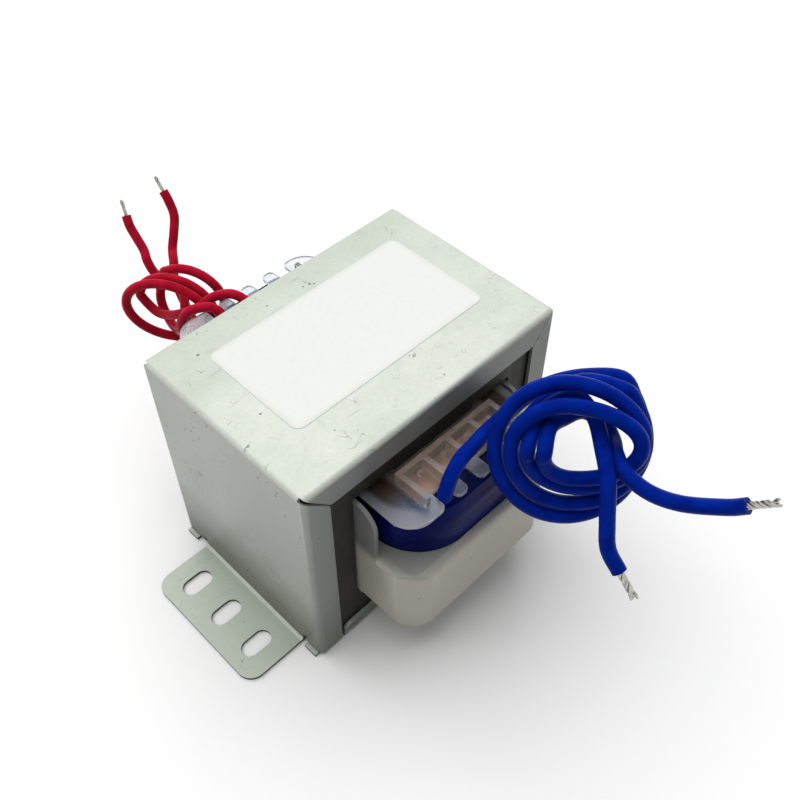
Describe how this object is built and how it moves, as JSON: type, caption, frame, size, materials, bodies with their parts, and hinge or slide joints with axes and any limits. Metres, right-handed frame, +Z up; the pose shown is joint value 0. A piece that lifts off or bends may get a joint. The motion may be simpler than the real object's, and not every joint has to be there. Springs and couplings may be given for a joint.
{
  "type": "laminated chassis transformer",
  "caption": "Mains transformer with a laminated core in a folded steel frame with slotted feet, a split bobbin, snap covers and coiled flying leads.",
  "frame": {"origin": "centre of the mounting face, under the middle of the core", "axes": "+X along the width, from foot to foot; -Y towards the blue output leads; +Z up"},
  "size_m": [0.098, 0.1572, 0.0653],
  "materials": {
    "frame_steel": "zinc-plated sheet, matt and slightly greenish, scuffed",
    "core_steel": "varnished electrical steel, nearly black",
    "bobbin_plastic": "translucent milky nylon",
    "copper": "enamelled copper wire",
    "clear_tape": "clear polyester tape",
    "blue_tape": "glossy dark blue polyester tape",
    "cover_plastic": "cream nylon, satin",
    "label_paper": "coated paper, blank",
    "blue_insulation": "blue PVC",
    "red_insulation": "red PVC",
    "tinned_strands": "tinned copper strands, twisted"
  },
  "bodies": {
    "root": {"frame_shell": "frame_steel", "base_plate": "frame_steel", "e_laminations_up": "core_steel", "e_laminations_down": "core_steel", "i_laminations_top": "core_steel", "i_laminations_bottom": "core_steel", "bobbin": "bobbin_plastic", "primary_winding": "copper", "primary_tape": "clear_tape", "secondary_winding": "copper", "secondary_tape": "blue_tape", "cover_front": "cover_plastic", "cover_rear": "cover_plastic", "label": "label_paper", "blue_lead_1": "blue_insulation", "blue_lead_2": "blue_insulation", "blue_coil": "blue_insulation", "blue_end_1": "blue_insulation", "blue_end_2": "blue_insulation", "blue_bare_ends": "tinned_strands", "red_lead_1": "red_insulation", "red_lead_2": "red_insulation", "red_coil": "red_insulation", "red_end_1": "red_insulation", "red_end_2": "red_insulation", "red_bare_ends": "tinned_strands"}
  },
  "joints": []
}
